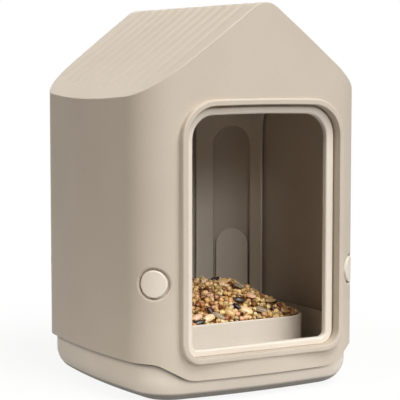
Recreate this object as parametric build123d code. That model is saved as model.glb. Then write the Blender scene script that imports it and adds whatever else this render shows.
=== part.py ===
from build123d import *
from math import atan2, degrees, hypot, radians, sin, sqrt
import os

# A bird feeder shaped like a small house: a moulded house shell with a fluted gable roof lifts
# off a base tub, where four corner tongues hold it and a tray of seed stands.
# Millimetres. The origin is the centre of the underside, +Z is up and the open front faces -Y.

# House shell
half_width = 85.0            # from the middle to the crown of each side, the same all round
side_radius = 480.0          # gentle bulge of each side, seen from above
corner_radius = 31.0
shell_wall = 2.4
ridge_height = 250.6         # where the two roof planes would meet
eave_height = 187.0          # where the roof planes would meet the crown of the side walls
ridge_rounding = 14.0
eave_rounding = 5.0
eave_reach = 1.2             # how far the rounded eave line lies outside the wall's crown
roof_edge_rounding = 0.7
side_hem = 25.6              # lower edge of the shell at the sides and back
front_hem = 14.8             # and where it dips at the front
hem_bend_outer = 13.4        # the dip's slope runs between these two distances in from the sides
hem_bend_inner = 32.5
hem_radius_upper = 12.0
hem_radius_lower = 20.0
hem_dip_depth = 25.0         # how far back from the front crown the dip reaches

# Flutes pressed into both roof slopes
flute_count = 12
flute_pitch = 12.4
flute_radius = 10.0
flute_depth_ridge = 1.0      # each flute grows shallower down the slope
flute_depth_eave = 0.45
flute_from_ridge = 3.0
flute_from_wall = 11.0

# Opening with its raised lip, and the frame that lines it
opening_pier = 29.4          # from the opening's side to the crown of the house's side
opening_bottom = 28.8
opening_top = 184.0
opening_arch = 1.2           # rise of the arched top edge
opening_radius_top = 20.0
opening_radius_bottom = 10.0
lip_width = 3.8
lip_proud = 1.2              # how far it stands out of the front wall's crown
lip_depth = 8.7              # from its face to its back edge inside
lip_outer_rounding = 1.2
lip_inner_rounding = 0.6
frame_gap = 1.2              # between the frame and the opening, above and beside it
frame_rest_gap = 0.05        # and below it, where the frame stands on the lip
frame_recess = 6.1           # from the lip's face back to the frame's
frame_flange_thickness = 1.4
frame_side_bar = 5.2         # how wide the frame shows at the sides, the bottom and the top
frame_sill = 4.35
frame_top_bar = 4.5
frame_radius_top = 15.0
frame_radius_bottom = 4.0
frame_flange = 2.4           # how far the back flange reaches past the shell's opening
frame_rounding = 1.4
frame_outer_rounding = 0.6

# Base tub
base_gap = 1.3               # between the inside of the shell and the tub
tub_wall = 2.2
tub_floor = 2.4
tub_edge_radius = 16.0
rim_height = 41.0
front_rim_gap = 0.6          # between the lowered front rim and the lip above it
drain_radius = 2.5
drain_spread = 68.0          # between the two drain holes of a pair
drain_from_tray = 15.0       # from the tray's front or back to a drain's middle
plinth_height = 2.6
plinth_wall = 2.0

# Corner guides inside the shell, each with an arched channel for a tongue
guide_reach = 42.0           # how far it reaches along a wall, from the next wall's crown
guide_lip_gap = 3.0          # between a front guide and the opening's lip
guide_below_eave = 5.0
guide_flare = 7.0            # how far its side edges sweep outwards near the top
guide_flare_height = 20.0
guide_rest_gap = 0.3         # between a guide's lower end and the tub's rim
guide_skin = 1.1             # each side edge of a guide is a thin skin standing off the wall
guide_slot_depth = 10.0      # and this deep the slot behind it runs
channel_width = 28.0
channel_below_top = 17.5     # from the guide's top to the channel's

# Push buttons in the shell's corners
button_height = 75.3
button_radius = 8.5
button_bore_radius = 9.6
button_bore_rounding = 1.4
button_proud = 0.3           # its face follows the corner, this far outside it
button_edge_rounding = 0.8
button_flange_radius = 11.1
button_flange_thickness = 0.7
button_gap = 0.3             # between the flange and the inside of the shell

# Latch tongues, each turning on a short axle at its foot
tongue_width = 23.4
tongue_above_button = 2.0    # from the button's middle to the middle of the tongue's round top
tongue_gap = 0.6             # around the tongue's plate, to the tub's wall
tongue_web_height = 34.0
axle_height = 24.0
axle_depth = 11.4            # inwards from the shell's outer corner
axle_radius = 1.5
axle_clearance = 0.06
hub_radius = 2.5
hub_length = 10.0
lug_gap = 0.4
lug_width = 3.0
lug_wall = 1.6
lug_bite = 1.1               # how deep a lug roots into the tub's wall

# Seed tray and the heap of seed in it
tray_side_space = 19.0       # between the tray and the crown of the house's side
tray_half_depth = 41.0
tray_radius = 20.0
tray_height = 38.3
tray_wall = 2.0
tray_floor = 2.0
tray_bottom_rounding = 2.5
tray_rim_rounding = 0.7
tray_rest_gap = 0.3
tray_recess = 3.2            # hollow under the tray that fits over the tub's plinth
tray_plinth_gap = 0.5
seed_gap = 0.3
seed_edge_drop = 1.0         # from the tray's rim down to the seed at its wall
seed_crown_rise = 24.5       # height of the crown above the tray's rim
seed_peak_rise = 28.0        # where the front and back slopes would meet, above the rim
seed_crown_half_length = 24.0
seed_crown_rounding = 16.0

corner_turns = {"rear_right": 0, "rear_left": 90, "front_left": 180, "front_right": 270}

# Worked out from the sizes above
roof_slope = (ridge_height - eave_height) / half_width
opening_half_width = half_width - opening_pier
side_centre = half_width - side_radius
corner_reach = side_radius - corner_radius
corner_centre = (side_centre + sqrt(2 * corner_reach**2 - side_centre**2)) / 2
side_turn = degrees(atan2(corner_centre, corner_centre - side_centre))
corner_apex = corner_centre * sqrt(2) + corner_radius
tub_inset = shell_wall + base_gap
tub_inside = tub_inset + tub_wall
tongue_top = button_height + tongue_above_button + tongue_width / 2
lip_front = -(half_width + lip_proud)
lip_back = lip_front + lip_depth
frame_front = lip_front + frame_recess
frame_back = lip_back + frame_flange_thickness
front_rim = opening_bottom - lip_width - front_rim_gap
tongue_foot = front_rim + tongue_gap
guide_bottom = rim_height + guide_rest_gap
guide_top = eave_height - guide_below_eave
guide_edge = half_width - guide_reach
flange_front = shell_wall + button_gap
flange_back = flange_front + button_flange_thickness
tray_bottom = tub_floor + tray_rest_gap
tray_half_width = half_width - tray_side_space
tray_rim = tray_bottom + tray_height
tray_inside_floor = tray_bottom + tray_recess + tray_floor
seed_edge = tray_rim - seed_edge_drop
seed_crown = tray_rim + seed_crown_rise
seed_peak = tray_rim + seed_peak_rise
reach = 4 * half_width       # longer than the whole feeder, for cutting tools

# Planes through the rear right corner: across its diagonal, and along it with +X outwards
diagonal = Plane((0, 0, 0), x_dir=(-1, 1, 0), z_dir=(1, 1, 0))
corner_section = Plane((0, 0, 0), x_dir=(1, 1, 0), z_dir=(1, -1, 0))


def body_outline(inset):
    # The rounded square seen from above: four bulging sides joined by tangent corner arcs.
    side = CenterArc((side_centre, 0), side_radius - inset, -side_turn, 2 * side_turn)
    corner = CenterArc(
        (corner_centre, corner_centre), corner_radius - inset, side_turn, 90 - 2 * side_turn)
    return make_face([Rot(0, 0, 90 * turn) * edge for turn in range(4) for edge in (side, corner)])


def outline_half_width(y):
    # Half width of the outline at a distance y from the middle.
    if abs(y) <= side_radius * sin(radians(side_turn)):
        return side_centre + sqrt(side_radius**2 - y**2)
    return corner_centre + sqrt(corner_radius**2 - (abs(y) - corner_centre) ** 2)


def column(outline, bottom, top):
    return Pos(0, 0, bottom) * extrude(outline, top - bottom)


def wall_ring(outer_inset, inner_inset, bottom, top):
    return column(body_outline(outer_inset) - body_outline(inner_inset), bottom, top)


def rounded_box(half_length, half_depth, radius, bottom, top):
    return column(RectangleRounded(2 * half_length, 2 * half_depth, radius), bottom, top)


def gable_prism(inset):
    # The house seen from the front, walls and roof moved in by the inset, drawn through its depth.
    half = half_width + eave_reach - inset
    ridge = ridge_height - inset * hypot(1, roof_slope)
    eave = ridge - roof_slope * half
    corners = [(-half, 0), (-half, eave), (0, ridge), (half, eave), (half, 0)]
    outline = make_face(Polyline(*corners, close=True))
    peak = outline.vertices().group_by(Axis.Y)[-1]
    outline = fillet(peak, max(ridge_rounding - inset, ridge_rounding / 2))
    eaves = outline.vertices().filter_by_position(Axis.Y, eave - 1, eave + 1)
    outline = fillet(eaves, max(eave_rounding - inset, eave_rounding / 2))
    return extrude(Plane.XZ * outline, reach / 2, both=True)


def below_hem():
    # Everything below the shell's hem: level at the sides and back, dipping in a double curve in front.
    outer, inner = half_width - hem_bend_outer, half_width - hem_bend_inner
    left = [(-reach, side_hem), (-outer, side_hem), (-inner, front_hem)]
    right = [(-x, z) for x, z in reversed(left)]
    radii = [hem_radius_upper, hem_radius_lower, hem_radius_lower, hem_radius_upper]
    line = FilletPolyline(*left, *right, radius=radii)
    ends = Polyline((reach, side_hem), (reach, -reach), (-reach, -reach), (-reach, side_hem))
    dip = Plane.XZ * make_face([*line.edges(), *ends.edges()])
    start = hem_dip_depth - half_width
    front = Pos(0, start, 0) * extrude(dip, reach)
    back = Pos(0, start + reach / 2, side_hem / 2) * Box(2 * reach, reach, side_hem)
    return front + back


def arched_opening(half, bottom, top, radius_top, radius_bottom):
    shoulder = top - opening_arch
    arch = ThreePointArc((half, shoulder), (0, top), (-half, shoulder))
    walls = Polyline((-half, shoulder), (-half, bottom), (half, bottom), (half, shoulder))
    outline = make_face([arch, *walls.edges()])
    outline = fillet(outline.vertices().group_by(Axis.Y)[-1], radius_top)
    outline = fillet(outline.vertices().group_by(Axis.Y)[0], radius_bottom)
    return Plane.XZ * outline


def shell_opening(grow):
    return arched_opening(
        opening_half_width + grow, opening_bottom - grow, opening_top + grow,
        opening_radius_top + grow, opening_radius_bottom + grow)


def between(face, front, back):
    # A face drawn on the XZ plane, made solid from one depth to another.
    return Pos(0, back, 0) * extrude(face, back - front)


def arch_tool(width, bottom, top):
    # An upright round-topped slug through the corner, pointing out along its diagonal.
    half = width / 2
    spring = top - half
    arc = ThreePointArc((half, spring), (0, top), (-half, spring))
    sides = Polyline((-half, spring), (-half, bottom), (half, bottom), (half, spring))
    start = corner_apex - corner_radius
    return diagonal * Pos(0, 0, start) * extrude(make_face([arc, *sides.edges()]), 2 * corner_radius)


def button_cylinder(radius, outer):
    # A cylinder on the button's axis, from behind the shell's wall out to a distance from the middle.
    start = corner_apex - corner_radius
    return diagonal * Pos(0, button_height, (start + outer) / 2) * Cylinder(radius, outer - start)


def across_corner(radius, length):
    # A cylinder on the tongue's axle line.
    middle = corner_section.from_local_coords((corner_apex - axle_depth, axle_height, 0))
    return Plane(middle, z_dir=(1, -1, 0)) * Cylinder(radius, length)


def around(shape):
    # Copies of a shape made at the rear right corner, one for each corner.
    return [Rot(0, 0, turn) * shape for turn in corner_turns.values()]


def capsule(radius, length):
    # A round-ended rod along Z, turned from its half outline.
    end = length / 2
    tip = CenterArc((0, end), radius, 0, 90)
    tail = CenterArc((0, -end), radius, -90, 90)
    edge = Line((radius, -end), (radius, end))
    middle = Line((0, end + radius), (0, -end - radius))
    return revolve(Plane.XZ * make_face([tip, tail, edge, middle]), Axis.Z)


def roof_flutes():
    # Round-ended rods laid along both slopes, sunk by the depth of a flute.
    outwards = Vector(roof_slope, 0, 1).normalized()
    tools = []
    for row in range(flute_count):
        y = (row - (flute_count - 1) / 2) * flute_pitch
        ends = (
            (flute_from_ridge, flute_depth_ridge),
            (outline_half_width(y) - flute_from_wall, flute_depth_eave))
        upper, lower = [
            Vector(x, y, ridge_height - roof_slope * x) + outwards * (flute_radius - depth)
            for x, depth in ends]
        along = lower - upper
        rod = Plane((upper + lower) / 2, x_dir=(0, 1, 0), z_dir=along) * capsule(flute_radius, along.length)
        tools += [rod, Rot(0, 0, 180) * rod]
    return tools


def house_shell():
    outside = column(body_outline(0), 0, ridge_height) & gable_prism(0)
    rooftop = [
        edge for edge in outside.edges().filter_by(GeomType.LINE, reverse=True)
        if edge.center().Z > eave_height / 2]
    outside = fillet(rooftop, roof_edge_rounding)
    outside = outside - roof_flutes()
    outside = outside - around(button_cylinder(button_bore_radius, reach))
    mouths = [
        edge for edge in outside.edges()
        if abs(edge.center().Z - button_height) < button_bore_radius / 2
        and hypot(edge.center().X, edge.center().Y) > corner_apex - corner_radius / 3
        and edge.length > button_bore_radius]
    outside = fillet(mouths, button_bore_rounding)
    outside = outside - below_hem()
    lip = between(shell_opening(lip_width), lip_front, lip_back)
    lip = fillet(lip.faces().sort_by(Axis.Y)[0].edges(), lip_outer_rounding)
    inside = column(body_outline(shell_wall), 0, ridge_height) & gable_prism(shell_wall)
    shell = outside - inside + lip - between(shell_opening(0), 2 * lip_front, 0)
    lip_face = shell.faces().sort_by(Axis.Y)[0]
    return fillet(lip_face.inner_wires()[0].edges(), lip_inner_rounding)


def front_frame():
    body = arched_opening(
        opening_half_width - frame_gap, opening_bottom + frame_rest_gap, opening_top - frame_gap,
        opening_radius_top - frame_gap, opening_radius_bottom - frame_gap)
    clear = arched_opening(
        opening_half_width - frame_gap - frame_side_bar, opening_bottom + frame_rest_gap + frame_sill,
        opening_top - frame_gap - frame_top_bar, frame_radius_top, frame_radius_bottom)
    ring = between(body, frame_front, frame_back) + between(shell_opening(frame_flange), lip_back, frame_back)
    ring = ring - between(clear, 2 * frame_front, 0)
    front = ring.faces().sort_by(Axis.Y)[0]
    ring = fillet(front.inner_wires()[0].edges(), frame_rounding)
    front = ring.faces().sort_by(Axis.Y)[0]
    return fillet(front.outer_wire().edges(), frame_outer_rounding)


def guide_end(edge, flare, height):
    # What a guide keeps of the wall ring, seen from the side; near the top it sweeps out by the flare.
    start = guide_top - height
    sweep = TangentArc((edge, start), (edge - flare, guide_top), tangent=(0, 1))
    rest = Polyline((edge - flare, guide_top), (reach, guide_top), (reach, 0), (edge, 0), (edge, start))
    return extrude(Plane.YZ * make_face([sweep.edge(), *rest.edges()]), reach)


def guide_liner(outer_inset, edge):
    # A curved liner in the rear right corner, from an inset to the guide's inner face.
    end = guide_end(edge, guide_flare, guide_flare_height)
    liner = wall_ring(outer_inset, tub_inside, guide_bottom, guide_top)
    return liner & end & mirror(end, Plane((0, 0, 0), z_dir=(1, -1, 0)))


def corner_guide(turn):
    # The liner with slots behind its side edges and an arched channel up its middle.
    guide = guide_liner(shell_wall, guide_edge + guide_slot_depth)
    guide = guide + guide_liner(tub_inside - guide_skin, guide_edge)
    guide = guide - arch_tool(channel_width, 0, guide_top - channel_below_top)
    clear_half = opening_half_width + lip_width + guide_lip_gap
    beside_opening = Pos(0, -reach / 2, 0) * Box(2 * clear_half, reach, 2 * reach)
    return Rot(0, 0, turn) * guide - beside_opening


def button_cap(turn):
    disc = button_cylinder(button_radius, reach) & column(body_outline(-button_proud), 0, reach)
    disc = fillet(disc.edges().sort_by(Axis((0, 0, 0), (1, 1, 0)))[-1], button_edge_rounding)
    flange = column(body_outline(flange_front), 0, reach) & button_cylinder(button_flange_radius, reach)
    cap = disc + flange - column(body_outline(flange_back), 0, reach)
    return Rot(0, 0, turn) * cap


def latch_tongue(turn):
    plate = wall_ring(tub_inset, tub_inside, tongue_foot, tongue_top)
    plate = plate & arch_tool(tongue_width, 0, tongue_top)
    middle = corner_apex - tub_inset - tub_wall / 2
    inner = corner_apex - tub_inside - tongue_gap
    hub = corner_apex - axle_depth
    web = Polyline(
        (hub, axle_height - hub_radius), (inner, tongue_foot), (middle, tongue_foot),
        (middle, tongue_web_height), (hub, axle_height + hub_radius), close=True)
    web = extrude(corner_section * make_face(web), hub_length / 2, both=True)
    axle = across_corner(axle_radius, hub_length + 2 * (lug_gap + lug_width))
    return Rot(0, 0, turn) * (plate + web + across_corner(hub_radius, hub_length) + axle)


def tub_body(inset, bottom, edge_radius):
    body = column(body_outline(inset), bottom, rim_height)
    return fillet(body.edges().group_by(Axis.Z)[0], edge_radius)


def axle_lugs():
    # A pair of bearing lugs on the tub's inner corner, stepped to let the tongue's plate turn.
    inner = corner_apex - axle_depth - axle_radius - lug_wall
    step = corner_apex - axle_depth + axle_radius + lug_wall
    top = axle_height + axle_radius + lug_wall
    side = Polyline(
        (inner, 0), (inner, top), (step, top), (step, axle_height), (corner_apex, axle_height),
        (corner_apex, 0), close=True)
    side = corner_section * make_face(side)
    start = hub_length / 2 + lug_gap
    pair = [extrude(Pos(shift) * side, lug_width) for shift in corner_shifts(start)]
    bore = across_corner(axle_radius + axle_clearance, hub_length * 3)
    return [lug - bore for lug in pair]


def corner_shifts(start):
    # Where the two lugs of a corner begin, either side of its diagonal.
    direction = corner_section.z_dir
    return [direction * start, direction * -(start + lug_width)]


def base_tub():
    rooted = tub_body(tub_inside - lug_bite, tub_floor - lug_bite, tub_edge_radius - tub_wall + lug_bite)
    lugs = [part & rooted for lug in axle_lugs() for part in around(lug)]
    hollow = tub_body(tub_inside, tub_floor, tub_edge_radius - tub_wall)
    tub = tub_body(tub_inset, 0, tub_edge_radius) - hollow
    notch = arch_tool(tongue_width + 2 * tongue_gap, front_rim, reach)
    lowered = Pos(0, -half_width, front_rim + reach / 2)
    lowered = lowered * Box(corner_apex * sqrt(2), 2 * hem_dip_depth, reach)
    tub = tub - around(notch) - lowered + lugs
    outer = tray_wall + tray_plinth_gap
    inner = outer + plinth_wall
    plinth = rounded_box(
        tray_half_width - outer, tray_half_depth - outer, tray_radius - outer,
        tub_floor - lug_bite, tub_floor + plinth_height)
    plinth = plinth - rounded_box(
        tray_half_width - inner, tray_half_depth - inner, tray_radius - inner, 0, rim_height)
    tub = tub + plinth
    drain = Cylinder(drain_radius, reach)
    across, along = drain_spread / 2, tray_half_depth + drain_from_tray
    return tub - [Pos(x, y, 0) * drain for x in (-across, across) for y in (-along, along)]


def seed_tray():
    body = rounded_box(tray_half_width, tray_half_depth, tray_radius, tray_bottom, tray_rim)
    body = fillet(body.edges().group_by(Axis.Z)[0], tray_rim_rounding)
    inner = tray_wall
    hollow = rounded_box(
        tray_half_width - inner, tray_half_depth - inner, tray_radius - inner,
        tray_inside_floor, 2 * tray_rim)
    hollow = fillet(hollow.edges().group_by(Axis.Z)[0], tray_bottom_rounding)
    recess = rounded_box(
        tray_half_width - inner, tray_half_depth - inner, tray_radius - inner, 0, tray_bottom + tray_recess)
    tray = body - hollow - recess
    rim = tray.faces().sort_by(Axis.Z)[-1]
    return fillet(rim.edges(), tray_rim_rounding)


def seed_heap():
    # Seed filling the tray and piled into a long mound, drawn as where its two side views meet.
    inner = tray_wall + seed_gap
    half, depth = tray_half_width - inner, tray_half_depth - inner
    seed = rounded_box(half, depth, tray_radius - inner, tray_inside_floor + seed_gap, seed_peak)
    seed = fillet(seed.edges().group_by(Axis.Z)[0], tray_bottom_rounding)
    long_view = Polyline(
        (-half, 0), (-half, seed_edge), (-seed_crown_half_length, seed_crown),
        (seed_crown_half_length, seed_crown), (half, seed_edge), (half, 0), close=True)
    long_view = make_face(long_view)
    long_view = fillet(long_view.vertices().group_by(Axis.Y)[-1], seed_crown_rounding)
    end_view = Polyline(
        (-depth, 0), (-depth, seed_edge), (0, seed_peak), (depth, seed_edge), (depth, 0), close=True)
    end_view = make_face(end_view)
    end_view = fillet(end_view.vertices().group_by(Axis.Y)[-1], seed_crown_rounding)
    seed = seed & extrude(Plane.XZ * long_view, reach, both=True)
    return seed & extrude(Plane.YZ * end_view, reach, both=True)


def save(shape, node):
    export_step(shape, f"parts/{node}.step")


os.makedirs("parts", exist_ok=True)
save(house_shell(), "house_shell")
save(front_frame(), "front_frame")
save(base_tub(), "base_tub")
save(seed_tray(), "seed_tray")
save(seed_heap(), "seed_heap")
for corner, turn in corner_turns.items():
    save(corner_guide(turn), f"corner_guide_{corner}")
    save(button_cap(turn), f"button_cap_{corner}")
    save(latch_tongue(turn), f"latch_tongue_{corner}")
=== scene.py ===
import math

import bpy
import numpy as np
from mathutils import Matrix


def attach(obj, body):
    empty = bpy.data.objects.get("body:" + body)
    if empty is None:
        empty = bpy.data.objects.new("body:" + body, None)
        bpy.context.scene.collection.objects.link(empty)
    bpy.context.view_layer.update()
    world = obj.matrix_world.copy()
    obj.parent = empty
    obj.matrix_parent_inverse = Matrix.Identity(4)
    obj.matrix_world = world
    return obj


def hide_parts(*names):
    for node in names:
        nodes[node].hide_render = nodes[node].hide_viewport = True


# Bird feeder: a moulded house over a base tub, with a tray of mixed seed.
# Metres, with +Z up and the open front facing -Y.

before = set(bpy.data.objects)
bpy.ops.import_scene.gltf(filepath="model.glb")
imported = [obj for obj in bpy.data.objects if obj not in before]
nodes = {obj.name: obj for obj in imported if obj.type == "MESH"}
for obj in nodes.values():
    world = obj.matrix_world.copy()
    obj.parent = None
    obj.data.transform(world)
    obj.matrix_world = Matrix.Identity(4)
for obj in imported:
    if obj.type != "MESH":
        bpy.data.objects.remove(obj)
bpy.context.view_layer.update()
chance = np.random.default_rng(20)        # every random draw comes from here
print("frame loaded:", len(nodes), "nodes")


def linearColour(hexText):
    # sRGB hex to the linear red, green, blue and alpha that the shader sockets take
    srgb = np.array([int(hexText[i:i + 2], 16) for i in (1, 3, 5)]) / 255
    linear = np.where(srgb <= 0.04045, srgb / 12.92, ((srgb + 0.055) / 1.055) ** 2.4)
    return (*[float(v) for v in linear], 1.0)


def addNode(tree, kind, inputs=None, links=None, stops=None, **settings):
    # one shader node, with its settings, its input values, what feeds its inputs, and a ramp's
    # stops: the first two are the ends, and any others lie between them
    node = tree.nodes.new(kind)
    for name, value in settings.items():
        setattr(node, name, value)
    for name, value in (inputs or {}).items():
        node.inputs[name].default_value = value
    for name, source in (links or {}).items():
        tree.links.new(source, node.inputs[name])
    for number, (place, colour) in enumerate(stops or []):
        elements = node.color_ramp.elements
        element = elements[number] if number < 2 else elements.new(place)
        element.position, element.color = place, colour
    return node


def newMaterial(name):
    # an empty node material, with its output node
    material = bpy.data.materials.new(name)
    material.use_nodes = True
    tree = material.node_tree
    tree.nodes.clear()
    return material, tree, addNode(tree, "ShaderNodeOutputMaterial")


def mouldedPolypropylene(name, colours, finish, paintedShade=None):
    # Injection-moulded polypropylene from a spark-eroded mould: an even, softly matt skin with a
    # fine grain, and a faint drift of colour where the pigment flowed. Where asked for, painted
    # shade darkens the places that see little of their surroundings.
    material, tree, output = newMaterial(name)
    place = addNode(tree, "ShaderNodeTexCoord").outputs["Object"]
    drift = addNode(tree, "ShaderNodeTexNoise",
                    {"Scale": 1 / finish["driftSize"], "Detail": 2.0, "Roughness": 0.5},
                    {"Vector": place}).outputs["Fac"]
    grain = addNode(tree, "ShaderNodeTexNoise",
                    {"Scale": 1 / finish["grainSize"], "Detail": 3.0, "Roughness": 0.65},
                    {"Vector": place}).outputs["Fac"]
    pitted = addNode(tree, "ShaderNodeTexVoronoi", {"Scale": 1 / finish["pitSize"], "Randomness": 1.0},
                     {"Vector": place}).outputs["Distance"]
    flow = addNode(tree, "ShaderNodeValToRGB", links={"Fac": drift},
                   stops=list(zip(finish["driftRange"], reversed(colours)))).outputs["Color"]
    speck = addNode(tree, "ShaderNodeMapRange",
                    {"From Min": finish["speckRange"][0], "From Max": finish["speckRange"][1],
                     "To Min": finish["speckShade"][0], "To Max": finish["speckShade"][1]},
                    {"Value": grain}).outputs["Result"]
    shaded = addNode(tree, "ShaderNodeVectorMath", links={0: flow, 1: speck},
                     operation="MULTIPLY").outputs["Vector"]
    # painted shade: ambient occlusion darkens the colour where little of the surroundings is seen
    if paintedShade:
        openness = addNode(tree, "ShaderNodeAmbientOcclusion", {"Distance": paintedShade["reach"]},
                           samples=16).outputs["AO"]
        paintedShadeFactor = addNode(tree, "ShaderNodeMapRange",
                        {"From Min": paintedShade["tight"], "From Max": paintedShade["open"],
                         "To Min": paintedShade["darkest"], "To Max": 1.0},
                        {"Value": openness}).outputs["Result"]
        shaded = addNode(tree, "ShaderNodeVectorMath", links={0: shaded, 1: paintedShadeFactor},
                         operation="MULTIPLY").outputs["Vector"]
    rough = addNode(tree, "ShaderNodeMapRange",
                    {"From Min": finish["roughRange"][0], "From Max": finish["roughRange"][1],
                     "To Min": finish["roughness"] - finish["roughSpread"],
                     "To Max": finish["roughness"] + finish["roughSpread"]},
                    {"Value": grain}).outputs["Result"]
    height = addNode(tree, "ShaderNodeMath", links={0: grain, 1: pitted}, operation="ADD").outputs["Value"]
    bump = addNode(tree, "ShaderNodeBump",
                   {"Strength": finish["bumpStrength"], "Distance": finish["bumpDepth"]},
                   {"Height": height}).outputs["Normal"]
    shader = addNode(tree, "ShaderNodeBsdfPrincipled", {"IOR": 1.49, "Specular IOR Level": 0.4},
                     {"Base Color": shaded, "Roughness": rough, "Normal": bump})
    tree.links.new(shader.outputs["BSDF"], output.inputs["Surface"])
    return material


mouldFinish = {
    "driftSize": 0.060,       # slow drift of pigment
    "driftRange": (0.30, 0.70),
    "grainSize": 0.0012,      # real grain is about 0.1 mm; drawn at 1.2 mm so that it shows
    "pitSize": 0.0009,        # real pits are as fine, and are drawn at 0.9 mm
    "speckRange": (0.25, 0.75),
    "speckShade": (0.965, 1.03),      # darkest and palest speck
    "roughness": 0.55,
    "roughRange": (0.3, 0.7),
    "roughSpread": 0.05,
    "bumpStrength": 0.07,
    "bumpDepth": 0.00012,
}

# Painted shade on the tub: darker under the shell's hem, and where it meets the ground
tubPaintedShade = {
    "reach": 0.008,           # how near a neighbour has to be
    "tight": 0.62,            # the openness at which it is darkest,
    "open": 0.87,             # and the one at which there is none
    "darkest": 0.28,          # the share of the colour that is left
}

# Each plastic's colour, and its shade where the pigment flowed darker
taupe = (linearColour("#CDC1B1"), linearColour("#C8BBAB"))
cream = (linearColour("#E9DFD1"), linearColour("#E4D9CA"))
creamPlastic = mouldedPolypropylene("cream_moulded_polypropylene", cream, mouldFinish)
otherPlastics = {
    "house_shell": mouldedPolypropylene("taupe_moulded_polypropylene", taupe, mouldFinish),
    # the tub's colour carries painted shade under the hem and near the ground
    "base_tub": mouldedPolypropylene("cream_polypropylene_with_painted_shade", cream, mouldFinish, tubPaintedShade),
}
for nodeName, nodeObject in nodes.items():
    for slot in nodeObject.material_slots:
        slot.material = otherPlastics.get(nodeName, creamPlastic)
print("plastics ready")


seedMound = {
    "halfLength": 0.0637,     # the heap's outline inside the tray, a rounded rectangle
    "halfDepth": 0.0387,
    "cornerRadius": 0.018,
    "edgeHeight": 0.0388,     # where the seed meets the tray's wall
    "edgeDip": 0.0015,        # how far a ripple may go below that
    "crownHeight": 0.0640,
    "crownHalfLength": 0.022,
    "endOverrun": 1.4,        # an end's slope is followed up to this many times its rise
    "peakHeight": 0.0672,     # where the front and back slopes would meet
    "peakBlunt": 0.012,       # how blunt that ridge is
    "softness": 0.0060,       # how rounded the meeting of two slopes is
    "ripple": 0.0006,
    "squareRipple": (310, 1.3, 270, -0.4),      # turns per metre, in radians, and start, along x and y
    "slantRipple": (540, 460, 0.7),             # turns along x and y, and its share
    "slopeStep": 0.0008,      # over which a slope is measured
}


def softLower(a, b, softness):
    # the lower of two heights, with their meeting rounded over the softness
    mix = np.clip(0.5 + 0.5 * (b - a) / softness, 0, 1)
    return b * (1 - mix) + a * mix - softness * mix * (1 - mix)


def moundHeight(x, y):
    # Height of the seed over the tray: the lower of a long ridge with sloping ends and a tent that
    # falls to the front and back, rounded where they meet, with a slight ripple of sines.
    m = seedMound
    endShare = (m["halfLength"] - np.abs(x)) / (m["halfLength"] - m["crownHalfLength"])
    along = m["edgeHeight"] + (m["crownHeight"] - m["edgeHeight"]) * np.clip(endShare, 0, m["endOverrun"])
    along = softLower(along, np.full_like(along, m["crownHeight"]), m["softness"])
    fall = np.sqrt((y / m["halfDepth"]) ** 2 + m["peakBlunt"])
    across = m["edgeHeight"] + (m["peakHeight"] - m["edgeHeight"]) * (1 - fall)
    height = softLower(along, across, m["softness"])
    turnX, startX, turnY, startY = m["squareRipple"]
    slantX, slantY, slantShare = m["slantRipple"]
    wave = np.sin(x * turnX + startX) * np.cos(y * turnY + startY)
    wave = wave + slantShare * np.sin(x * slantX - y * slantY)
    return np.maximum(height + m["ripple"] * wave, m["edgeHeight"] - m["edgeDip"])


def moundNormal(x, y):
    # upward normal, from the heights a step to either side of each point
    step = seedMound["slopeStep"]
    dx = (moundHeight(x + step, y) - moundHeight(x - step, y)) / (2 * step)
    dy = (moundHeight(x, y + step) - moundHeight(x, y - step)) / (2 * step)
    normal = np.stack([-dx, -dy, np.ones_like(dx)], axis=-1)
    return normal / np.linalg.norm(normal, axis=-1, keepdims=True)


def insideTray(x, y, margin):
    # True inside the heap's rounded rectangle, drawn in by the margin: the distance past its inner
    # rectangle is less than the corner radius less the margin.
    radius = seedMound["cornerRadius"]
    pastX = np.maximum(np.abs(x) - (seedMound["halfLength"] - radius), 0)
    pastY = np.maximum(np.abs(y) - (seedMound["halfDepth"] - radius), 0)
    return np.hypot(pastX, pastY) <= radius - margin


def meshPiece(name, points, faces, material, body, slotName, colours=None, places=None):
    # a mesh object at the origin from arrays of points and equal-sided faces, smooth shaded
    mesh = bpy.data.meshes.new(name)
    sides = faces.shape[1]
    mesh.vertices.add(len(points))
    mesh.vertices.foreach_set("co", points.astype(np.float32).ravel())
    mesh.loops.add(faces.size)
    mesh.loops.foreach_set("vertex_index", faces.astype(np.int32).ravel())
    mesh.polygons.add(len(faces))
    mesh.polygons.foreach_set("loop_start", np.arange(0, faces.size, sides, dtype=np.int32))
    mesh.polygons.foreach_set("loop_total", np.full(len(faces), sides, dtype=np.int32))
    mesh.update(calc_edges=True)
    mesh.validate()
    mesh.polygons.foreach_set("use_smooth", np.ones(len(mesh.polygons), dtype=bool))
    if colours is not None:
        layer = mesh.color_attributes.new("grainColour", "FLOAT_COLOR", "POINT")
        layer.data.foreach_set("color", colours.astype(np.float32).ravel())
    if places is not None:
        layer = mesh.attributes.new("grainPlace", "FLOAT_VECTOR", "POINT")
        layer.data.foreach_set("vector", places.astype(np.float32).ravel())
    mesh.materials.append(material)
    piece = bpy.data.objects.new(name, mesh)
    bpy.context.scene.collection.objects.link(piece)
    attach(piece, body)
    return piece


huskFinish = {
    "mottleSize": 1 / 1400,   # about 0.7 mm; real mottling is finer and wouldn't show
    "mottleRange": (0.3, 0.7),
    "mottleShade": (0.92, 1.06),
    "bumpStrength": 0.25,
    "bumpDepth": 0.0001,
}


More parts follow.
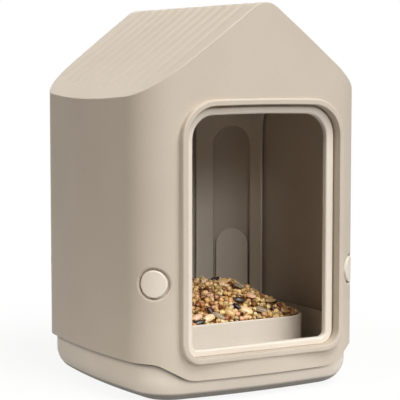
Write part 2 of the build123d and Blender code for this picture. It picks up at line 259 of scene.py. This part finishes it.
def seedHusk(name, roughness, stripes=None):
    # Dry seed coats, grown and not made: a waxy, slightly glossy skin over the grain's own colour,
    # with fine mottling. Striped ones have pale lines along the husk.
    material, tree, output = newMaterial(name)
    own = addNode(tree, "ShaderNodeAttribute", attribute_name="grainColour").outputs["Color"]
    place = addNode(tree, "ShaderNodeTexCoord").outputs["Object"]
    mottle = addNode(tree, "ShaderNodeTexNoise", {"Scale": 1 / huskFinish["mottleSize"], "Detail": 2.0},
                     {"Vector": place}).outputs["Fac"]
    factor = addNode(tree, "ShaderNodeMapRange",
                     {"From Min": huskFinish["mottleRange"][0], "From Max": huskFinish["mottleRange"][1],
                      "To Min": huskFinish["mottleShade"][0], "To Max": huskFinish["mottleShade"][1]},
                     {"Value": mottle}).outputs["Result"]
    colour = addNode(tree, "ShaderNodeVectorMath", links={0: own, 1: factor},
                     operation="MULTIPLY").outputs["Vector"]
    if stripes:
        local = addNode(tree, "ShaderNodeAttribute", attribute_name="grainPlace").outputs["Vector"]
        sideways = addNode(tree, "ShaderNodeSeparateXYZ", links={"Vector": local}).outputs["Y"]
        wave = addNode(tree, "ShaderNodeMath", {1: stripes["perWidth"] * math.pi}, {0: sideways},
                       operation="MULTIPLY").outputs["Value"]
        wave = addNode(tree, "ShaderNodeMath", links={0: wave}, operation="COSINE").outputs["Value"]
        mask = addNode(tree, "ShaderNodeMapRange",
                       {"From Min": stripes["edge"][0], "From Max": stripes["edge"][1]},
                       {"Value": wave}).outputs["Result"]
        colour = addNode(tree, "ShaderNodeMix", {7: stripes["colour"]}, {0: mask, 6: colour},
                         data_type="RGBA").outputs[2]
    bump = addNode(tree, "ShaderNodeBump",
                   {"Strength": huskFinish["bumpStrength"], "Distance": huskFinish["bumpDepth"]},
                   {"Height": mottle}).outputs["Normal"]
    shader = addNode(tree, "ShaderNodeBsdfPrincipled",
                     {"Roughness": roughness, "IOR": 1.47, "Specular IOR Level": 0.55},
                     {"Base Color": colour, "Normal": bump})
    tree.links.new(shader.outputs["BSDF"], output.inputs["Surface"])
    return material


def grainShape(size, taper, blunt, facets):
    # One closed grain along X: an ellipsoid whose ends are blunted by the power "blunt" and whose
    # width shrinks towards +X by the taper, with so many points around and so many rings. Returns
    # its points, its triangles with a pole at each end, and the points in units of the half sizes.
    around, rings = facets
    polar = np.linspace(0, np.pi, rings + 2)[1:-1]
    turn = np.linspace(0, 2 * np.pi, around, endpoint=False)
    along = np.cos(polar)
    radius = np.sin(polar) ** blunt * (1 - taper * along)
    unit = np.stack([
        np.repeat(along, around),
        np.outer(radius, np.cos(turn)).ravel(),
        np.outer(radius, np.sin(turn)).ravel()], axis=-1)
    unit = np.vstack([[1.0, 0, 0], unit, [-1.0, 0, 0]])
    ring = np.arange(rings - 1)[:, None] * around + 1
    step = np.arange(around)
    following = (step + 1) % around
    here, beside = ring + step, ring + following
    quads = np.stack([here, beside, beside + around, here + around], axis=-1).reshape(-1, 4)
    last = 1 + (rings - 1) * around
    tipCap = np.stack([np.zeros(around, int), 1 + following, 1 + step], axis=-1)
    tailCap = np.stack([last + step, last + following, np.full(around, last + around)], axis=-1)
    triangles = np.vstack([quads[:, [0, 2, 1]], quads[:, [0, 3, 2]], tipCap, tailCap])
    return unit * np.array(size) / 2, triangles, unit


def turnMatrices(normals, headings, lean):
    # Turns that stand each grain's Z on the slope's normal, lean it, and point its X along a heading
    up = normals + lean
    up = up / np.linalg.norm(up, axis=1, keepdims=True)
    forward = np.stack([np.cos(headings), np.sin(headings), np.zeros_like(headings)], axis=1)
    forward = forward - up * np.sum(forward * up, axis=1, keepdims=True)
    forward = forward / np.linalg.norm(forward, axis=1, keepdims=True)
    return np.stack([forward, np.cross(up, forward), up], axis=2)


def scatter(name, shape, centres, turns, sizes, colours, material):
    # copies of one grain, each sized, turned, moved to its place and coloured, as one piece of the seed
    points, faces, unit = shape
    placed = np.einsum("nij,nmj->nmi", turns, points[None] * sizes[:, None, :]) + centres[:, None, :]
    count = len(centres)
    allFaces = (faces[None] + np.arange(count)[:, None, None] * len(points)).reshape(-1, 3)
    colour = np.repeat(np.hstack([colours, np.ones((count, 1))]), len(points), axis=0)
    place = np.tile(unit, (count, 1))
    return meshPiece(name, placed.reshape(-1, 3), allFaces, material, "tray", "seed", colour, place)


grainColours = {"spread": 0.12, "darkest": 0.01, "palest": 0.95}


def pickColours(palette, shares, count):
    # each grain takes one colour of the mix, a little lighter or darker than its neighbours
    base = np.array([linearColour(c)[:3] for c in palette])
    chosen = base[chance.choice(len(palette), count, p=np.array(shares) / sum(shares))]
    varied = chosen * chance.normal(1.0, grainColours["spread"], (count, 1))
    return np.clip(varied, grainColours["darkest"], grainColours["palest"])


# The larger seeds: length, width and thickness, height above the mound, points around and rings, and
# how many fall by chance. Those that show at the front are placed, as (x, y, heading, size, colour).
largeSeeds = {
    "sunflower": {
        "size": (0.0094, 0.0042, 0.0030), "taper": 0.28, "blunt": 0.85, "lift": 0.0010, "facets": (12, 9),
        "strewn": 12, "palette": ["#2A221B", "#372B22", "#46372A"], "shares": [5, 3, 2],
        "placed": [(0.0119, -0.0012, 0.0, 1.0, "#3D3128"), (0.0193, -0.0226, -0.4, 1.0, "#3F2F20"),
                   (0.0146, -0.0266, -1.2, 0.7, "#1C150F"), (-0.0069, -0.028, -1.29, 0.7, "#4A2F2C"),
                   (-0.019, -0.0348, 0.07, 1.0, "#352C20"), (0.0465, -0.0225, 0.2, 0.7, "#2A2018")],
    },
    "stripedSunflower": {
        "size": (0.0096, 0.0044, 0.0032), "taper": 0.25, "blunt": 0.85, "lift": 0.0010, "facets": (12, 9),
        "strewn": 14, "palette": ["#6F6152", "#81715F"], "shares": [1, 1],
        "placed": [(0.0265, -0.0102, -1.1, 0.9, "#7E7150"), (-0.003, -0.0324, -0.94, 1.0, "#8E7550"),
                   (0.031, -0.0312, -0.92, 1.0, "#907759")],
    },
    "kernel": {
        "size": (0.0078, 0.0050, 0.0022), "taper": 0.18, "blunt": 0.75, "lift": 0.0013, "facets": (12, 9),
        "strewn": 20, "palette": ["#EBCF9E", "#E3BE88", "#D9B27E"], "shares": [3, 2, 1],
        "placed": [(0.0172, -0.0044, 0.0, 1.1, "#DBB47C"), (0.0305, -0.019, -0.93, 0.9, "#EBBA90"),
                   (0.02, -0.0295, -0.96, 1.2, "#F6D5A2"), (-0.0109, -0.0333, 0.52, 1.0, "#F6D9AC"),
                   (-0.0181, -0.0307, 0.46, 0.9, "#EBC29E"), (0.0481, -0.0328, -0.51, 0.8, "#A8814F")],
    },
    "maize": {
        "size": (0.0078, 0.0058, 0.0044), "taper": 0.22, "blunt": 0.6, "lift": 0.0006, "facets": (12, 9),
        "strewn": 14, "palette": ["#D9A95C", "#CC9A52", "#E0B873"], "shares": [3, 2, 2],
        "placed": [(0.007, -0.0301, -1.11, 1.0, "#DDB877")],
    },
    "oat": {
        "size": (0.0092, 0.0032, 0.0024), "taper": 0.10, "blunt": 1.0, "lift": 0.0010, "facets": (12, 9),
        "strewn": 22, "palette": ["#C9AC80", "#B79B70", "#A98A5E"], "shares": [2, 2, 1],
        "placed": [(0.0417, -0.0245, 0.0, 1.0, "#B59565")],
    },
    "lentil": {
        "size": (0.0046, 0.0032, 0.0026), "taper": 0.10, "blunt": 0.9, "lift": 0.0006, "facets": (8, 4),
        "strewn": 50,
        "palette": ["#5A2A22", "#7A4526", "#8E5528", "#9A6A3A", "#A5642F"], "shares": [3, 3, 2, 2, 2],
        "placed": [(0.0418, -0.0294, -0.44, 0.9, "#5A2A22"), (0.0477, -0.0278, -0.09, 1.0, "#7A4526"),
                   (0.0385, -0.034, -0.31, 1.0, "#8C7F45"), (-0.0058, -0.0162, -0.08, 1.0, "#8E5528"),
                   (-0.0021, -0.0225, -0.32, 1.0, "#A5642F"), (-0.0052, -0.0048, -0.37, 1.0, "#A3673F"),
                   (-0.0084, -0.0195, -0.35, 1.0, "#9A6A3A"), (0.0094, -0.0108, -0.51, 1.3, "#B08F48")],
    },
    "milo": {
        "size": (0.0039, 0.0038, 0.0036), "taper": 0.0, "blunt": 1.0, "lift": 0.0006, "facets": (8, 4),
        "strewn": 60, "palette": ["#E6B07E", "#DDA270", "#E8B884", "#C98A66"], "shares": [3, 2, 3, 1],
        "placed": [(0.011, -0.0327, 0.0, 1.0, "#E6AF80"), (0.0166, -0.0346, 0.0, 1.0, "#F2BE92"),
                   (0.0126, -0.0354, 0.0, 1.0, "#EDB789"), (0.0019, -0.0033, 0.0, 0.9, "#EBC1A6"),
                   (0.013, -0.0081, 0.0, 0.9, "#EDBF9C"), (0.0161, -0.0096, 0.0, 0.9, "#EDBF9C"),
                   (-0.0028, -0.0251, 0.0, 0.9, "#CE957A"), (0.0039, -0.0175, 0.0, 0.9, "#C68A70"),
                   (-0.001, -0.0166, 0.0, 0.9, "#CE957A"), (0.0108, -0.0256, 0.0, 0.9, "#DDB694"),
                   (0.0141, -0.0239, 0.0, 0.9, "#DDBBA0")],
    },
}
seedFall = {
    "drawn": 3,               # places drawn for each seed that falls, of which the first good ones are kept
    "wallMargin": 0.0045,
    "frontRight": -0.024,     # large ones don't fall where the placed ones show: right of this
    "frontDepth": 0.004,      # and in front of this,
    "largeReach": 0.003,      # if they reach further than this
    "crowding": 0.8,          # how near two may lie, as a share of their reaches
    "lean": 0.20,
    "sizeSpread": 0.06,
    "faceFront": (-0.17, -0.30, 0.03),      # how far the placed ones lean towards the open front
}

millet = {
    "spacing": 0.0036,        # along a row
    "rowStep": 0.9,           # between rows, as a share of the spacing
    "shake": (0.22, 0.27),    # each place moves by up to this share of the spacing
    "wallMargin": 0.0014,
    "shape": (0.00372, 0.00352, 0.00335), "taper": 0.05, "blunt": 1.0, "facets": (8, 4),
    "layers": [(-0.0026, 1.05, 0.40), (-0.0011, 1.0, 0.64), (0.0004, 1.0, 1.0)],    # lift, size, and painted shade that darkens the lower layers
    "paintedDepthTint": (0.8, 1.1, 1.5),           # painted shade between the grains: redder where it is darker
    "clearShare": (0.45, 0.15),             # room kept round a large seed, and more for each layer up
    "liftSpread": 0.0003, "sizeSpread": 0.09, "shapeSpread": 0.03, "lean": 0.6,
    "palette": ["#F8D69A", "#F0C785", "#E6B673", "#F5D6A0", "#EBBA8A", "#C4854E", "#94552F", "#DD9F6C"],
    "shares": [26, 24, 14, 14, 10, 5, 4, 3],
}


def strewPoints():
    # places on a grid of triangles, each shaken by up to about a quarter of the spacing
    spacing = millet["spacing"]
    shakeX, shakeY = millet["shake"]
    xs = np.arange(-seedMound["halfLength"], seedMound["halfLength"], spacing)
    ys = np.arange(-seedMound["halfDepth"], seedMound["halfDepth"], spacing * millet["rowStep"])
    ys = ys + chance.uniform(0, spacing)
    gridX, gridY = np.meshgrid(xs, ys)
    gridX = gridX + (np.arange(len(ys)) % 2)[:, None] * spacing / 2
    x = gridX.ravel() + chance.uniform(-shakeX, shakeX, gridX.size) * spacing
    y = gridY.ravel() + chance.uniform(-shakeY, shakeY, gridY.size) * spacing
    keep = insideTray(x, y, millet["wallMargin"])
    return x[keep], y[keep]


def onMound(x, y, lift):
    # places on the mound, each raised by the lift along the slope's normal, with those normals
    normals = moundNormal(x, y)
    return np.stack([x, y, moundHeight(x, y)], axis=1) + normals * lift, normals


waxySeed = seedHusk("millet_seed_coat", roughness=0.30)
paleStripes = {"perWidth": 5.0, "edge": (0.25, 0.75), "colour": linearColour("#C9BBA4")}
stripedHusk = seedHusk("striped_sunflower_husk", roughness=0.5, stripes=paleStripes)

taken = np.zeros((0, 3))      # x, y and reach of every large seed
for seedName, seed in largeSeeds.items():
    count = seed["strewn"]
    drawn = count * seedFall["drawn"]
    placed = np.array([spot[:3] for spot in seed["placed"]])
    fallen = np.stack([
        chance.uniform(-seedMound["halfLength"], seedMound["halfLength"], drawn),
        chance.uniform(-seedMound["halfDepth"], seedMound["halfDepth"], drawn),
        chance.uniform(0, 2 * np.pi, drawn)], axis=1)
    reach = seed["size"][0] / 2
    atFront = (fallen[:, 0] > seedFall["frontRight"]) & (fallen[:, 1] < seedFall["frontDepth"])
    atFront = atFront & (reach > seedFall["largeReach"])
    fallen = fallen[insideTray(fallen[:, 0], fallen[:, 1], seedFall["wallMargin"]) & ~atFront][:count]
    chosen = []
    for number, spot in enumerate(np.vstack([placed, fallen])):
        apart = np.hypot(taken[:, 0] - spot[0], taken[:, 1] - spot[1])
        gaps = apart - seedFall["crowding"] * (taken[:, 2] + reach)
        if number < len(placed) or not (gaps < 0).any():
            chosen.append(spot)
            taken = np.vstack([taken, [spot[0], spot[1], reach]])
    x, y, heading = np.array(chosen).T
    centres, normals = onMound(x, y, seed["lift"])
    lean = chance.normal(0, seedFall["lean"], (len(x), 3))
    lean[:len(placed)] = seedFall["faceFront"]
    turns = turnMatrices(normals, heading, lean)
    sizes = chance.normal(1.0, seedFall["sizeSpread"], (len(x), 1)) * np.ones((1, 3))
    sizes[:len(placed)] = np.array([[spot[3]] for spot in seed["placed"]])
    colours = pickColours(seed["palette"], seed["shares"], len(x))
    colours[:len(placed)] = np.array([linearColour(spot[4])[:3] for spot in seed["placed"]])
    shape = grainShape(seed["size"], seed["taper"], seed["blunt"], seed["facets"])
    husk = stripedHusk if seedName == "stripedSunflower" else waxySeed
    scatter("seed_" + seedName, shape, centres, turns, sizes, colours, husk)
print("large seeds:", len(taken))

milletShape = grainShape(millet["shape"], millet["taper"], millet["blunt"], millet["facets"])
for layer, (lift, size, paintedLayerShade) in enumerate(millet["layers"]):
    x, y = strewPoints()
    if layer > 0:
        clearShare = millet["clearShare"][0] + millet["clearShare"][1] * layer
        gap = np.hypot(x[:, None] - taken[:, 0], y[:, None] - taken[:, 1]) - taken[:, 2] * clearShare
        keep = gap.min(axis=1) > 0
        x, y = x[keep], y[keep]
    centres, normals = onMound(x, y, lift + chance.normal(0, millet["liftSpread"], (len(x), 1)))
    headings = chance.uniform(0, 2 * np.pi, len(x))
    turns = turnMatrices(normals, headings, chance.normal(0, millet["lean"], (len(x), 3)))
    sizes = chance.normal(size, millet["sizeSpread"], (len(x), 1))
    sizes = sizes * chance.normal(1.0, millet["shapeSpread"], (len(x), 3))
    colours = pickColours(millet["palette"], millet["shares"], len(x))
    # painted shade: the lower layers are darkened and reddened in colour
    colours = colours * paintedLayerShade ** np.array(millet["paintedDepthTint"])
    scatter(f"seed_millet_{layer + 1}", milletShape, centres, turns, sizes, colours, waxySeed)
    print("millet layer", layer + 1, len(x))


seedBed = {
    "around": 96,
    "rings": 26,
    "below": 0.0024,          # how far under the mound's surface it lies
    "floor": 0.0084,          # its flat foot in the tray
    "farthest": 0.09,         # no edge lies further from the middle than this
    "halvings": 30,
    "cellSize": 0.0028,       # grains as wide as the real small ones
    "bumpStrength": 0.8,
    "bumpDepth": 0.0008,
    "roughness": 0.6,
    # painted shade: dark browns that stand for grains lying in shade
    "colours": [(0.0, "#4B2515"), (1.0, "#7E5832"), (0.35, "#63381F"), (0.6, "#724827")],
}


def trayEdge(direction):
    # distance from the middle to the heap's rounded rectangle along each direction, by halving
    low, high = np.zeros(len(direction)), np.full(len(direction), seedBed["farthest"])
    for _ in range(seedBed["halvings"]):
        middle = (low + high) / 2
        inside = insideTray(direction[:, 0] * middle, direction[:, 1] * middle, 0.0)
        low, high = np.where(inside, middle, low), np.where(inside, high, middle)
    return low


def bedSurface():
    # The bed under the grains: rings from the middle to the tray's edge at the mound's height less
    # the depth below it, then a skirt straight down to a flat foot, closed by a point at each end.
    around, rings = seedBed["around"], seedBed["rings"]
    turn = np.linspace(0, 2 * np.pi, around, endpoint=False)
    share = np.linspace(0, 1, rings + 1)[1:]
    direction = np.stack([np.cos(turn), np.sin(turn)], axis=1)
    edge = trayEdge(direction)
    x = np.outer(share, direction[:, 0] * edge)
    y = np.outer(share, direction[:, 1] * edge)
    z = moundHeight(x, y) - seedBed["below"]
    skirt = np.stack([x[-1], y[-1], np.full(around, seedBed["floor"])], axis=-1)
    top = np.array([[0, 0, float(moundHeight(np.array(0.0), np.array(0.0))) - seedBed["below"]]])
    foot = np.array([[0, 0, seedBed["floor"]]])
    points = np.vstack([top, np.stack([x, y, z], axis=-1).reshape(-1, 3), skirt, foot])
    ringStart = np.arange(rings)[:, None] * around + 1
    here = ringStart + np.arange(around)
    after = ringStart + (np.arange(around) + 1) % around
    faces = np.vstack([
        np.stack([here, here + around, after + around], axis=-1).reshape(-1, 3),
        np.stack([here, after + around, after], axis=-1).reshape(-1, 3),
        np.stack([np.zeros(around, int), here[0], after[0]], axis=-1),
        np.stack([np.full(around, len(points) - 1), after[-1] + around, here[-1] + around], axis=-1)])
    return points, faces


def packedSeedWithPaintedShade(name):
    # What shows between the top grains: more grains, in painted shade, darker because little light gets
    # down there
    material, tree, output = newMaterial(name)
    place = addNode(tree, "ShaderNodeTexCoord").outputs["Object"]
    cells = addNode(tree, "ShaderNodeTexVoronoi", {"Scale": 1 / seedBed["cellSize"]}, {"Vector": place})
    pick = addNode(tree, "ShaderNodeSeparateColor", links={"Color": cells.outputs["Color"]}).outputs["Red"]
    colour = addNode(tree, "ShaderNodeValToRGB", links={"Fac": pick},
                     stops=[(at, linearColour(c)) for at, c in seedBed["colours"]]).outputs["Color"]
    bump = addNode(tree, "ShaderNodeBump",
                   {"Strength": seedBed["bumpStrength"], "Distance": seedBed["bumpDepth"]},
                   {"Height": cells.outputs["Distance"]}, invert=True).outputs["Normal"]
    shader = addNode(tree, "ShaderNodeBsdfPrincipled", {"Roughness": seedBed["roughness"]},
                     {"Base Color": colour, "Normal": bump})
    tree.links.new(shader.outputs["BSDF"], output.inputs["Surface"])
    return material


bed = meshPiece("seed_bed", *bedSurface(), packedSeedWithPaintedShade("packed_seed_painted_shade"), "tray", "seed")
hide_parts("seed_heap")
print("seed bed ready")


studio = {
    "floorWidth": 12.0,
    "floorHeight": -0.0005,
    "floorColour": "#F4F2EF",
    "fadeStart": 0.10,        # the floor's shading fades to plain white between these distances
    "fadeEnd": 0.42,
    "floorShade": 0.10,       # how much of the object's shadow the floor keeps
    "bounceNear": (0.115, "#D2D1D0"),       # the floor lights the object most from close to it
    "bounceFar": (0.38, "#828180"),
    "worldColour": "#FFFFFF",
    "worldStrength": 0.03,
    "aim": (0.0, 0.0, 0.12),
    "lampDistance": 4.0,
}

# Degrees round from the front towards the right, degrees up, size, watts, colour
softboxes = {
    "overhead_softbox": (12, 58, 2.20, 130, "#FFFFFF"),
    "front_softbox": (7, 28, 1.50, 47, "#FFFFFF"),
    "fill_softbox": (-14, 20, 1.00, 24, "#FFFFFF"),
    "left_softbox": (-85, 38, 1.75, 43, "#FFF8EC"),
    "back_softbox": (165, 14, 1.50, 26, "#FFFFFF"),
}


def seenDirectly(tree):
    # 1 for what the camera, gloss and glass see, 0 for what only lights the object
    path = addNode(tree, "ShaderNodeLightPath").outputs
    seen = addNode(tree, "ShaderNodeMath", links={0: path["Is Camera Ray"], 1: path["Is Glossy Ray"]},
                   operation="MAXIMUM").outputs["Value"]
    return addNode(tree, "ShaderNodeMath", links={0: seen, 1: path["Is Transmission Ray"]},
                   operation="MAXIMUM").outputs["Value"]


def studioPaper(name):
    # Matt studio paper. Where it is seen it is plain white, with a little of the object's shadow
    # close by. Where it only lights the object it is grey, and paler close by.
    material, tree, output = newMaterial(name)
    place = addNode(tree, "ShaderNodeTexCoord").outputs["Object"]
    distance = addNode(tree, "ShaderNodeVectorMath", links={0: place}, operation="LENGTH").outputs["Value"]
    shade = addNode(tree, "ShaderNodeMapRange",
                    {"From Min": studio["fadeStart"], "From Max": studio["fadeEnd"],
                     "To Min": studio["floorShade"], "To Max": 0.0},
                    {"Value": distance}, interpolation_type="SMOOTHSTEP").outputs["Result"]
    paper = addNode(tree, "ShaderNodeBsdfDiffuse",
                    {"Color": linearColour(studio["floorColour"])}).outputs["BSDF"]
    glow = addNode(tree, "ShaderNodeEmission", {"Strength": 1.0}).outputs["Emission"]
    seenFloor = addNode(tree, "ShaderNodeMixShader", links={0: shade, 1: glow, 2: paper}).outputs["Shader"]
    reach = addNode(tree, "ShaderNodeMapRange",
                    {"From Min": studio["bounceNear"][0], "From Max": studio["bounceFar"][0]},
                    {"Value": distance}, interpolation_type="SMOOTHSTEP").outputs["Result"]
    pool = addNode(tree, "ShaderNodeValToRGB", links={"Fac": reach},
                   stops=[(0.0, linearColour(studio["bounceNear"][1])),
                          (1.0, linearColour(studio["bounceFar"][1]))]).outputs["Color"]
    bounce = addNode(tree, "ShaderNodeBsdfDiffuse", links={"Color": pool}).outputs["BSDF"]
    mixed = addNode(tree, "ShaderNodeMixShader", links={0: seenDirectly(tree), 1: bounce, 2: seenFloor})
    tree.links.new(mixed.outputs["Shader"], output.inputs["Surface"])
    return material


floorMesh = bpy.data.meshes.new("studio_floor")
half = studio["floorWidth"] / 2
floorSquare = [(-half, -half), (half, -half), (half, half), (-half, half)]
floorMesh.from_pydata([(x, y, studio["floorHeight"]) for x, y in floorSquare], [], [(0, 1, 2, 3)])
floorMesh.materials.append(studioPaper("studio_floor"))
floor = bpy.data.objects.new("studio_floor", floorMesh)
bpy.context.scene.collection.objects.link(floor)

world = bpy.data.worlds.new("studio")
bpy.context.scene.world = world
world.use_nodes = True
sky = world.node_tree
sky.nodes.clear()
lit = addNode(sky, "ShaderNodeBackground",
              {"Color": linearColour(studio["worldColour"]), "Strength": studio["worldStrength"]})
plain = addNode(sky, "ShaderNodeBackground", {"Color": (1, 1, 1, 1), "Strength": 1.0})
both = addNode(sky, "ShaderNodeMixShader",
               links={0: seenDirectly(sky), 1: lit.outputs["Background"], 2: plain.outputs["Background"]})
addNode(sky, "ShaderNodeOutputWorld", links={"Surface": both.outputs["Shader"]})


def aimed(place, target):
    # the turn that points an object's -Z from its place at the target
    away = np.array(place) - np.array(target)
    away = away / np.linalg.norm(away)
    side = np.cross([0, 0, 1], away)
    side = side / np.linalg.norm(side)
    rotation = np.column_stack([side, np.cross(away, side), away])
    pitch = math.acos(rotation[2, 2])
    heading = math.atan2(rotation[0, 2], -rotation[1, 2])
    return (pitch, 0.0, heading)


for lampName, (around, upwards, size, power, colour) in softboxes.items():
    turn, rise = math.radians(around), math.radians(upwards)
    away = np.array([math.sin(turn) * math.cos(rise), -math.cos(turn) * math.cos(rise), math.sin(rise)])
    lampPlace = np.array(studio["aim"]) + studio["lampDistance"] * away
    lampData = bpy.data.lights.new(lampName, "AREA")
    lampData.shape = "DISK"
    lampData.size = size
    lampData.energy = power
    lampData.color = linearColour(colour)[:3]
    lamp = bpy.data.objects.new(lampName, lampData)
    lamp.location = lampPlace
    lamp.rotation_euler = aimed(lampPlace, studio["aim"])
    bpy.context.scene.collection.objects.link(lamp)

photoCamera = {
    "lens": 134.53,           # 1494.8 pixels of focal length on a 400 pixel frame
    "sensorWidth": 36.0,
    "clipEnd": 20.0,
    "place": (-0.4973, -0.8691, 0.2066),
    "turn": (90 - 5.05, 0.0, -29.86),       # degrees: 5 below level, and 30 round from the front
}
cameraData = bpy.data.cameras.new("camera")
cameraData.lens = photoCamera["lens"]
cameraData.sensor_width = photoCamera["sensorWidth"]
cameraData.clip_end = photoCamera["clipEnd"]
camera = bpy.data.objects.new("camera", cameraData)
camera.location = photoCamera["place"]
camera.rotation_euler = [math.radians(angle) for angle in photoCamera["turn"]]
bpy.context.scene.collection.objects.link(camera)
bpy.context.scene.camera = camera
bpy.context.scene.view_settings.view_transform = "Standard"
print("studio ready")
